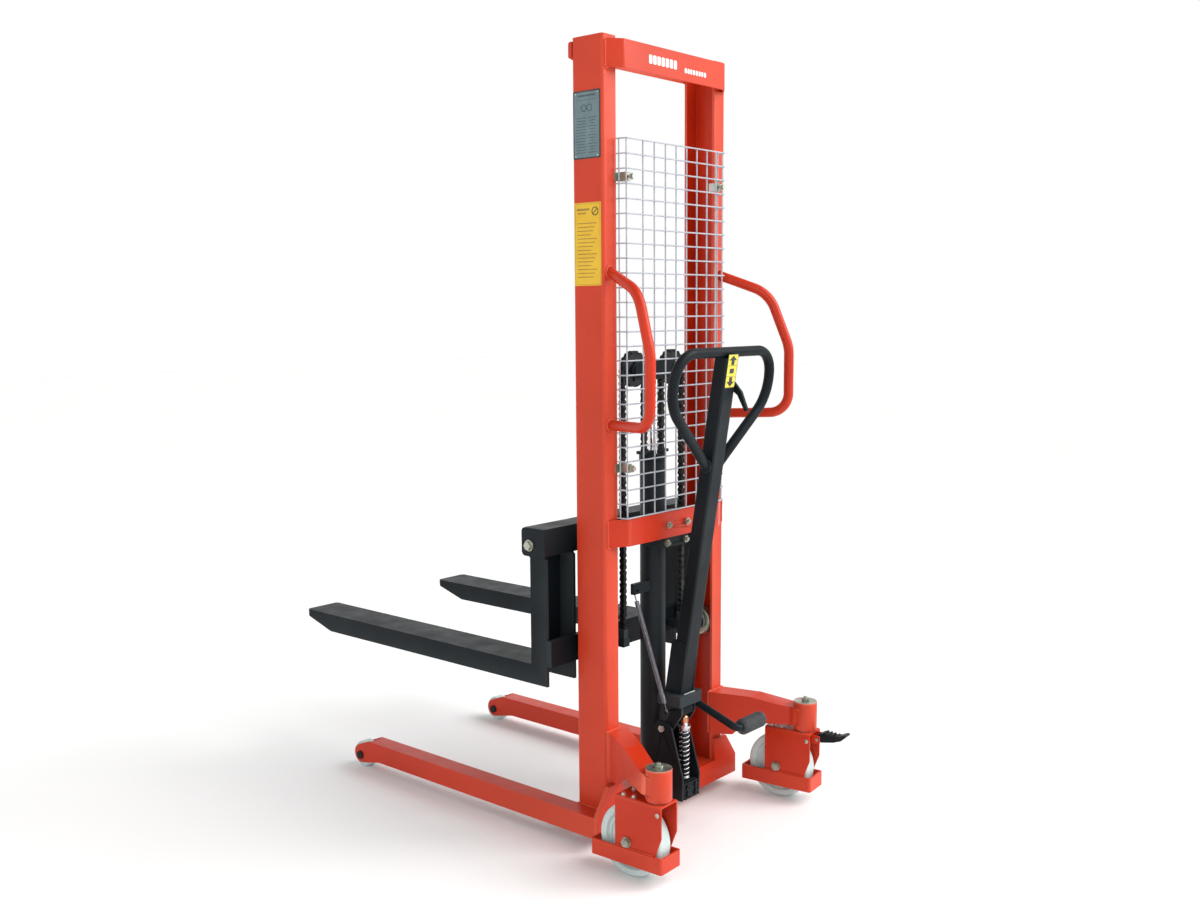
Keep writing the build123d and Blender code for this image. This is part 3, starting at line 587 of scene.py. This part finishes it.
def chains():
    """Both lift chains: a strand to the carriage, a strand to the cylinder, and the turn over the sheave."""
    outer, inner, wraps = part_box("outer_chains"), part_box("inner_chains"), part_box("chain_wraps")
    y = (wraps[0].y + wraps[1].y) / 2
    turn_links = 9
    for name, side in SIDES.items():
        outside, inside = strand_x(outer, side), strand_x(inner, side)
        links = straight_chain(outside, y, outer[0].z, outer[1].z)
        outer_strand = piece(f"outer_chain_{name}", links, None, "chain_steel")
        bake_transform(outer_strand)
        links = straight_chain(inside, y, inner[0].z, inner[1].z)
        inner_strand = piece(f"inner_chain_{name}", links, None, "chain_steel")
        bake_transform(inner_strand)
        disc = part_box(f"sheave_{name}")
        centre = (disc[0] + disc[1]) / 2
        reach = abs(outside - centre.x)
        pins = []
        for k in range(turn_links + 1):
            angle = math.pi * k / turn_links
            pins.append(Vector((centre.x + reach * math.cos(angle), y, centre.z + reach * math.sin(angle))))
        wrap = piece(f"chain_wrap_{name}", leaf_chain(pins), "crosshead", "chain_steel")
        if side < 0:
            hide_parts("outer_chains")
            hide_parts("inner_chains")
            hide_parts("chain_wraps")


def chain_ends():
    """The clevises that hold the chain ends on the gland bar and on the lower bar of the carriage."""
    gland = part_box("cylinder_gland")
    inner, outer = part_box("inner_chains"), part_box("outer_chains")
    depth = 0.018
    y = (gland[0].y + gland[1].y) / 2 - depth / 2
    for name, side in SIDES.items():
        foot = Vector((strand_x(inner, side) - side * 0.002, y, gland[1].z))
        clevis = patch(0.010, 0.012, 0.003, depth, foot, (X, Z, Y))
        piece(f"gland_clevis_{name}", [clevis], "frame", "black_paint")
        foot = Vector((strand_x(outer, side), y, outer[0].z + 0.012))
        clevis = patch(0.017, 0.028, 0.004, depth, foot, (X, Z, Y))
        piece(f"carriage_clevis_{name}", [clevis], "carriage", "black_paint")


def pump_spring():
    """Coil spring round the pump plunger, with closed turns at both ends."""
    low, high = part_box("pump_spring")
    centre = (low + high) / 2
    wire, coil = 0.0017, (high.x - low.x) / 2 - 0.0017
    turns, closed, steps = 14, 2.0, 24
    length = high.z - low.z - 2 * wire
    pitch_closed = 2 * wire
    pitch_open = (length - 2 * closed * pitch_closed) / (turns - 2 * closed)
    points = []
    for k in range(turns * steps + 1):
        turn = k / steps
        bottom = min(turn, closed)
        top = max(turn - (turns - closed), 0)
        z = (bottom + top) * pitch_closed + (turn - bottom - top) * pitch_open
        x, y = coil * math.cos(math.tau * turn), coil * math.sin(math.tau * turn)
        points.append((centre.x + x, centre.y + y, low.z + wire + z))
    spring = piece("pump_coil", [tube(points, wire, 8)], "frame", "spring_steel", angle=80)
    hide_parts("pump_spring")
    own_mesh(spring)


def return_spring():
    """The long tension spring from the lug on the cylinder to the rocker, with a wire loop at each end."""
    top, end = at(-0.087, 0.038, 0.606), at(-0.056, -0.042, 0.306)
    down = (end - top).normalized()
    first = down.orthogonal().normalized()
    second = down.cross(first)
    length = (end - top).length
    head, tail = 0.009, 0.026
    coil, wire, hook, steps = 0.0056, 0.00105, 0.0015, 9
    turns = round((length - head - tail) / (2.35 * wire))
    points = []
    for k in range(turns * steps + 1):
        angle = math.tau * k / steps
        along = head + (length - head - tail) * k / (turns * steps)
        points.append(top + along * down + coil * (math.cos(angle) * first + math.sin(angle) * second))
    upper = [top + head * down + coil * first, top + 0.5 * head * down + 0.4 * coil * first]
    upper += circle(top, second, 0.0065, 18)
    lower = [end - tail * down + coil * first, end - 0.92 * tail * down, end - 0.012 * down]
    lower += circle(end - 0.005 * down, second, 0.0062, 18)
    parts = [tube(points, wire, 6), tube(upper, hook, 8), tube(lower, hook, 8)]
    spring = piece("return_coil", parts, None, "spring_steel", DULL_WIRE, 80)
    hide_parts("return_spring")
    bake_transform(spring)


# ---------------------------------------------------------------- frame details


def frame_welds():
    """Beads where the cross plates, the tie, the arms and the legs meet the columns."""
    top_plate, lower_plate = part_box("top_cross_plate"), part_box("lower_cross_plate")
    tie, arm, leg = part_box("top_front_plate"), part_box("caster_arms"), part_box("leg_right")
    off, behind = 0.001, -0.0012
    front = MAST_DEPTH + off
    runs = []
    for side in (-1, 1):
        for low, high in (top_plate, lower_plate):
            end, inner = side * (high.x - MAST_X), side * (high.x - MAST_X - 0.030)
            runs.append([at(end, behind, low.z + 0.002), at(end, behind, high.z - 0.002)])
            runs.append([at(end, -off, low.z - off), at(inner, -off, low.z - off)])
        runs.append([at(side * 0.205, front, tie[0].z), at(side * 0.250, front, tie[0].z)])
        root, face = side * ARM_ROOT, side * (MAST_HALF + off)
        runs.append([at(root, behind, arm[0].z + 0.002), at(root, behind, arm[1].z)])
        runs.append([at(root, behind, arm[1].z), at(face, behind, arm[1].z)])
        face = side * (MAST_HALF + 0.0008)
        runs.append([at(face, 0.004, leg[1].z + 0.0006), at(face, MAST_DEPTH, leg[1].z + 0.0006)])
        runs.append([at(face, front, leg[0].z + 0.004), at(face, front, leg[1].z)])
    weld("frame_welds", runs, "frame")


def handle_welds():
    """A ring of weld round each end of the grab handles."""
    for name, side in SIDES.items():
        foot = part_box(f"grab_handle_{name}")[0].z + HANDLE_R
        rings = [circle(at(side * HANDLE_X, -0.0008, z), Y, 0.0145, 60) for z in (foot, HANDLE_TOP)]
        weld(f"handle_welds_{name}", rings, "frame", radius=0.0030)


def swivel_welds():
    """Beads round the swivel tubes where the arms meet them."""
    radius, upper_seam, lower_seam, steps = 0.0326, 0.2625, 0.2145, 24
    for name, side in SIDES.items():
        runs = []
        for z in (upper_seam, lower_seam):
            points = []
            for k in range(steps + 1):
                x, y = radius * math.cos(math.pi * k / steps), radius * math.sin(math.pi * k / steps)
                points.append(at(side * SWIVEL[0] + x, SWIVEL[1] + y, z))
            runs.append(points)
        weld(f"swivel_welds_{name}", runs, "frame", radius=0.0024)


def swivel_caps():
    """The threaded stud on top of each swivel, and the rim of the tube round its cap."""
    edge = ((-0.0050, 0.0312), (-0.0050, 0.0321), (-0.0014, 0.0321), (-0.0009, 0.0317), (-0.0009, 0.0312))
    threads = [(0.0045 + 0.0008 * k, 0.0042 if k % 2 else 0.0049) for k in range(10)]
    for name in SIDES:
        top = on_caster(name, 0, 0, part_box(f"caster_pins_{name}")[1].z - 0.012)
        piece(f"swivel_rim_{name}", [lathe(edge, top, Z, 48)], "frame", "red_paint")
        stud = lathe([(0, 0.0045)] + threads, top, Z, 18)
        piece(f"swivel_stud_{name}", [stud], f"caster_{name}", "zinc_steel")


def caster_axis(name):
    """The direction of a steering wheel's axle."""
    return Vector((math.cos(TURN[name]), math.sin(TURN[name]), 0))


def yoke_screws():
    """Small zinc screws through the yoke: four on its top and one high on each side."""
    dome = ((0, 0.0058), (0.002, 0.0055), (0.0034, 0.0035), (0.0038, 0.001))
    for name in SIDES:
        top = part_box(f"caster_yoke_{name}")[1].z - 0.0002
        heads = []
        for x, y in ((-0.020, 0.058), (0.020, 0.058), (-0.021, 0.088), (0.021, 0.088)):
            heads += washer_and_head(on_caster(name, x, y, top), Z, 0.010, 0.004, 0.0075)
        for face in (-1, 1):
            centre = on_caster(name, face * 0.0339, -0.020, 0.178)
            heads.append(lathe(dome, centre, face * caster_axis(name), 20))
        piece(f"yoke_screws_{name}", heads, f"caster_{name}", "zinc_steel")


def guard_welds():
    """Beads that hold the foot-guard band to the yoke's cheeks."""
    x, start, end, z = 0.0352, -0.008, 0.102, 0.0766
    for name in SIDES:
        runs = [[on_caster(name, face * x, y, z) for y in (start, end)] for face in (-1, 1)]
        weld(f"guard_welds_{name}", runs, f"caster_{name}", radius=0.0022)


def wheel_hubs():
    """Bearing shields and moulded rings on both faces of each steering wheel."""
    shield = ((0.0255, 0.0095), (0.0272, 0.0095), (0.0274, 0.015), (0.0262, 0.0172), (0.025, 0.0175))
    for name in SIDES:
        axis = caster_axis(name)
        centre = on_caster(name, 0, TRAIL, WHEEL_R)
        rings, shields = [], []
        for face in (-1, 1):
            outwards = face * axis
            for lift, radius, thick, steps in ((0.0168, 0.036, 0.0020, 48), (0.0166, 0.060, 0.0016, 60)):
                path = [p + lift * outwards for p in circle(centre, axis, radius, steps)]
                rings.append(tube(path, thick, 8))
            shields.append(lathe(shield, centre, outwards, 32))
        piece(f"wheel_rings_{name}", rings, f"caster_wheel_{name}", "nylon")
        piece(f"wheel_shields_{name}", shields, f"caster_wheel_{name}", "spring_steel")


# ---------------------------------------------------------------- labels


def rating_plate():
    """Grey data plate on the left column: ruled lines in place of its text, and a rivet in each corner."""
    out = LEFT_FACE[2]
    origin = at(-MAST_HALF, 0.050, 1.7925)
    border = patch(0.086, 0.160, 0.003, 0.0006, origin, LEFT_FACE)
    piece("rating_plate_border", [border], "frame", "red_paint", PRINT_DARK)
    face = patch(0.079, 0.153, 0.002, 0.0004, origin + 0.0005 * out, LEFT_FACE)
    piece("rating_plate", [face], "frame", "red_paint", PLATE_GREY)
    ink = origin + 0.0009 * out
    lines = []
    for row in range(13):
        height = 0.016 - row * 0.0068
        for centre, width in ((-0.018, 0.030), (0.018, 0.026 - 0.007 * (row % 3))):
            spot = on_face(ink, LEFT_FACE, centre, height)
            lines.append(patch(width, 0.0016, 0.0007, INK_T, spot, LEFT_FACE, 2))
    for height, width, thick in ((0.068, 0.056, 0.0042), (0.058, 0.064, 0.0009)):
        spot = on_face(ink, LEFT_FACE, 0, height)
        lines.append(patch(width, thick, thick * 0.45, INK_T, spot, LEFT_FACE, 2))
    for centre in (-0.009, 0.009):
        ring = circle(on_face(ink, LEFT_FACE, centre, 0.039), out, 0.0078, 28)
        lines.append(tube(ring, 0.0009, 6))
    piece("rating_plate_lines", lines, "frame", "red_paint", PLATE_LINES)
    dome = ((0, 0.0018), (0.0006, 0.0017), (0.0011, 0.0009))
    corners = [(u, v) for u in (-0.0345, 0.0345) for v in (-0.0735, 0.0735)]
    rivets = [lathe(dome, on_face(ink, LEFT_FACE, u, v), out, 14) for u, v in corners]
    piece("rating_plate_rivets", rivets, "frame", "spring_steel")


def safety_label():
    """Yellow label on the left column: a plain ring and rows of lines in place of its picture and text."""
    across, up, out = LEFT_FACE
    origin = at(-MAST_HALF, 0.0495, 1.5095)
    film = patch(0.085, 0.199, 0.002, 0.0005, origin, LEFT_FACE)
    piece("safety_label", [film], "frame", "red_paint", YELLOW_FILM)
    ink = origin + 0.0005 * out
    edge = rounded(0.079, 0.193, 0.002, 2)
    marks = [tube([on_face(ink, LEFT_FACE, u, v) for u, v in edge + edge[:1]], 0.0004, 4)]
    for u, v, width, height in ((-0.014, 0.083, 0.040, 0.005), (-0.018, 0.074, 0.026, 0.003)):
        marks.append(patch(width, height, 0.001, INK_T, on_face(ink, LEFT_FACE, u, v), LEFT_FACE, 2))
    for row in range(15):
        width = 0.062 - 0.012 * ((row * 5) % 4) / 2
        spot = on_face(ink, LEFT_FACE, width / 2 - 0.033, 0.050 - row * 0.0092)
        marks.append(patch(width, 0.0020, 0.0007, INK_T, spot, LEFT_FACE, 2))
    piece("safety_label_lines", marks, "frame", "red_paint", LABEL_LINES)
    sign = on_face(ink, LEFT_FACE, 0.024, 0.078)
    ring = tube(circle(sign, out, 0.0095, 32), 0.0011, 6)
    slanted = ((across + up).normalized(), (up - across).normalized(), out)
    bar = patch(0.018, 0.0018, 0.0008, 0.0004, sign, slanted, 2)
    piece("safety_label_ring", [ring, bar], "frame", "red_paint", PRINT_DARK)


def plate_mark():
    """Rows of plain blocks on the top cross plate, where its printed words are."""
    low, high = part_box("top_cross_plate")
    origin = Vector((MAST_X, low.y, (low.z + high.z) / 2))
    rows = ((-0.106, 7, 0.0165, 0.0125, 0.021, 0.0), (0.036, 8, 0.0118, 0.0085, 0.012, -0.008))
    blocks = []
    for start, count, pitch, width, height, drop in rows:
        for k in range(count):
            spot = on_face(origin, REAR_FACE, start + k * pitch, drop)
            blocks.append(patch(width, height, 0.003, 0.0004, spot, REAR_FACE))
    piece("capacity_bars", blocks, "frame", "red_paint", PRINT_WHITE)


def arrow(width, height):
    """An arrow that points up, about the origin."""
    head, stem = 0.5 * width, 0.2 * width
    low, high = -0.5 * height, 0.5 * height
    return [(-stem, low), (stem, low), (stem, 0), (head, 0), (0, high), (-head, 0), (-stem, 0)]


def tiller_decal():
    """Yellow strip at the top of the tiller: an arrow up, a plain square and an arrow down."""
    origin = on_tiller(0, 0.868, 0.0198)
    edge = patch(0.043, 0.086, 0.002, 0.0004, origin, TILLER_FACE)
    piece("tiller_decal_edge", [edge], "tiller", "black_paint", PRINT_DARK)
    film = patch(0.039, 0.082, 0.002, 0.0006, origin, TILLER_FACE)
    piece("tiller_decal", [film], "tiller", "black_paint", DECAL_YELLOW)
    ink = origin + 0.0006 * TILLER_BACK
    sign = arrow(0.032, 0.024)
    marks = [
        plate(sign, INK_T, ink + 0.027 * TILLER_UP, X, TILLER_UP, TILLER_BACK),
        plate(sign, INK_T, ink - 0.027 * TILLER_UP, -X, -TILLER_UP, TILLER_BACK),
        patch(0.018, 0.012, 0.001, INK_T, ink, TILLER_FACE, 2),
    ]
    for v in (-0.0135, 0.0135):
        marks.append(patch(0.038, 0.0008, 0.0003, INK_T, ink + v * TILLER_UP, TILLER_FACE, 2))
    piece("tiller_decal_marks", marks, "tiller", "black_paint", PRINT_DARK)


# ---------------------------------------------------------------- pump, tiller and pedals


def pedal_grip():
    """Ribbed rubber sleeve on the foot pedal."""
    low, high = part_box("pedal_sleeve")
    centre = (low + high) / 2
    radius, length = (high.z - low.z) / 2, high.x - low.x
    ribs, start, plain = 12, 0.003, 0.008
    pitch = (length - plain) / ribs
    profile = [(0, 0.0105), (0, radius - 0.003), (0.0015, radius - 0.001)]
    for rib in range(ribs):
        for share, drop in ((0.0, 0.0032), (0.14, 0.0004), (0.42, 0.0), (0.56, 0.0032)):
            profile.append((start + (rib + share) * pitch, radius - drop))
    profile += [(length - 0.004, radius - 0.0006), (length - 0.001, radius - 0.002)]
    profile += [(length, radius - 0.005), (length, 0.004)]
    end = Vector((low.x, centre.y, centre.z))
    grip = piece("pedal_grip", [lathe(profile, end, X, 48)], "tiller", "grip_rubber", angle=50)
    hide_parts("pedal_sleeve")


def pump_details():
    """Bronze button and spring cap of the plunger, a black sleeve over the plunger as painted shade, and the
    socket screws of the pump block.
    """
    low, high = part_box("pump_piston")
    axis = (low + high) / 2
    top, floor = Vector((axis.x, axis.y, high.z)), Vector((axis.x, axis.y, 0))
    button = (
        (-0.0205, 0.0094), (-0.0190, 0.0102), (-0.0125, 0.0104),
        (-0.0060, 0.0096), (-0.0018, 0.0062), (0, 0.0012),
    )
    piece("pump_button", [lathe(button, top, Z, 32)], "pump_piston", "chrome_rod", BRONZE)
    # Painted shade: a black sleeve over the chrome plunger, standing for the shade it lies in inside the
    # spring.
    shade_sleeve = ((0.150, 0.0020), (0.150, 0.0076), (0.2545, 0.0076), (0.2545, 0.0020))
    piece("plunger_shade_sleeve", [lathe(shade_sleeve, floor, Z, 28)], "pump_piston", "black_paint")
    cap = ((-0.0345, 0.0110), (-0.0345, 0.0163), (-0.0300, 0.0166), (-0.0275, 0.0160), (-0.0262, 0.0112))
    piece("spring_cap", [lathe(cap, top, Z, 40)], "pump_piston", "spring_steel")
    socket = (
        (0, 0.0068), (0.0042, 0.0068), (0.0052, 0.0060), (0.0052, 0.0034), (0.0022, 0.0033), (0.0022, 0.0005),
    )
    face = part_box("pump_block")[0].y + 0.0035
    spots = [Vector((axis.x + x, face, z)) for x in (-0.018, 0.018) for z in (0.078, 0.100)]
    piece("pump_screws", [lathe(socket, spot, -Y, 24) for spot in spots], "frame", "chain_steel")


def tiller_details():
    """Gussets and clamp at the foot of the tiller, and the beads where the loop joins the tube."""
    gusset = (
        (0.022, 0.004), (-0.030, 0.004), (-0.030, 0.135), (-0.024, 0.150), (0.012, 0.150), (0.018, 0.142),
    )
    sides = [plate(gusset, 0.0045, on_tiller(x, 0), TILLER_BACK, TILLER_UP, X) for x in (-0.0272, 0.0232)]
    piece("tiller_gussets", sides, "tiller", "black_paint")
    clamp = patch(0.096, 0.076, 0.004, 0.030, at(0, -0.041, 0.3215), (X, Y, Z))
    piece("rocker_clamp", [clamp], "tiller", "black_paint")
    # The weld bead on top of the clamp is given bright zinc colour instead of black paint: a painted
    # highlight line on a real bead.
    bead = [at(-0.022, -0.0725, 0.3520), at(0.024, -0.0725, 0.3520)]
    weld("clamp_weld_highlight", [bead], "tiller", "zinc_steel", 0.0014)
    joint, rise, reach, steps = 0.623, 0.017, 0.0138, 32
    angles = [math.tau * k / steps for k in range(steps + 1)]
    runs = []
    for side in (-1, 1):
        x = side * 0.0256
        runs.append([on_tiller(x, joint + rise * math.sin(a), reach * math.cos(a)) for a in angles])
    weld("tiller_welds", runs, "tiller", "black_paint", 0.0024)


# ---------------------------------------------------------------- stage


def add(name, data):
    """Puts a camera, a light or a mesh in the scene."""
    thing = bpy.data.objects.new(name, data)
    bpy.context.scene.collection.objects.link(thing)
    return thing


def camera():
    """The camera, from its place, its yaw and pitch, and a slight roll."""
    flat = math.cos(CAMERA_PITCH)
    forward = Vector((math.sin(CAMERA_YAW) * flat, math.cos(CAMERA_YAW) * flat, -math.sin(CAMERA_PITCH)))
    level_right = Vector((math.cos(CAMERA_YAW), -math.sin(CAMERA_YAW), 0))
    level_up = level_right.cross(forward)
    right = level_right * math.cos(CAMERA_ROLL) + level_up * math.sin(CAMERA_ROLL)
    up = level_up * math.cos(CAMERA_ROLL) - level_right * math.sin(CAMERA_ROLL)
    data = bpy.data.cameras.new("camera")
    data.lens = CAMERA_LENS
    data.sensor_width = 36
    data.clip_end = 60
    thing = add("camera", data)
    thing.matrix_world = Matrix.Translation(CAMERA_AT) @ Matrix((right, up, -forward)).transposed().to_4x4()
    bpy.context.scene.camera = thing


def area_light(name, place, target, size, power):
    data = bpy.data.lights.new(name, "AREA")
    data.shape = "RECTANGLE"
    data.size, data.size_y = size
    data.energy = power
    thing = add(name, data)
    thing.location = place
    thing.rotation_euler = (Vector(target) - Vector(place)).to_track_quat("-Z", "Y").to_euler()


def sun(towards, strength, spread_deg, colour):
    data = bpy.data.lights.new("sun", "SUN")
    data.energy = strength
    data.angle = math.radians(spread_deg)
    data.color = colour
    add("sun", data).rotation_euler = Vector(towards).to_track_quat("-Z", "Y").to_euler()


def sky():
    """A white wall of light low down, fading to grey overhead."""
    world = bpy.data.worlds.new("world")
    world.use_nodes = True
    tree = world.node_tree
    coordinates = tree.nodes.new("ShaderNodeTexCoord")
    split = tree.nodes.new("ShaderNodeSeparateXYZ")
    fade = tree.nodes.new("ShaderNodeValToRGB")
    stops = ((0.42, WALL_GLOW), (0.85, OVERHEAD_GLOW))
    for stop, (place, glow) in zip(fade.color_ramp.elements, stops):
        stop.position = place
        stop.color = (glow, glow, glow, 1)
    tree.links.new(coordinates.outputs["Generated"], split.inputs[0])
    tree.links.new(split.outputs["Z"], fade.inputs["Fac"])
    tree.links.new(fade.outputs["Color"], tree.nodes["Background"].inputs["Color"])
    bpy.context.scene.world = world
    bpy.context.scene.view_settings.view_transform = "Standard"


def studio():
    """Pale floor and wall, a soft sun from behind the operator and two weaker panels for highlights."""
    sky()
    sun((-0.42, 0.72, -0.9), 2.1, 50, (1, 0.985, 0.97))
    area_light("key", (2.6, -3.6, 3.2), (0, -0.3, 1.2), (1.4, 2.6), 60)
    area_light("fill", (-3.6, -1.6, 2.4), (0, 0, 0.9), (1.2, 2.4), 14)
    material = new_material("floor")
    tone = ramp(material, noise(material, 1.2, 2), ((0.3, (0.93, 0.93, 0.93)), (0.7, (0.96, 0.96, 0.96))))
    surface(material, tone, None, (8, 2), 0.7, 0.85)
    corners = [(x * FLOOR_HALF, y * FLOOR_HALF, 0) for x, y in ((-1, -1), (1, -1), (1, 1), (-1, 1))]
    mesh = bpy.data.meshes.new("floor")
    mesh.from_pydata(corners, [], [(0, 1, 2, 3)])
    mesh.materials.append(material)
    add("floor", mesh)


camera()
studio()
dress_nodes()
chains()
chain_ends()
pump_spring()
return_spring()
frame_welds()
handle_welds()
swivel_welds()
swivel_caps()
yoke_screws()
guard_welds()
wheel_hubs()
rating_plate()
safety_label()
plate_mark()
tiller_decal()
pedal_grip()
pump_details()
tiller_details()
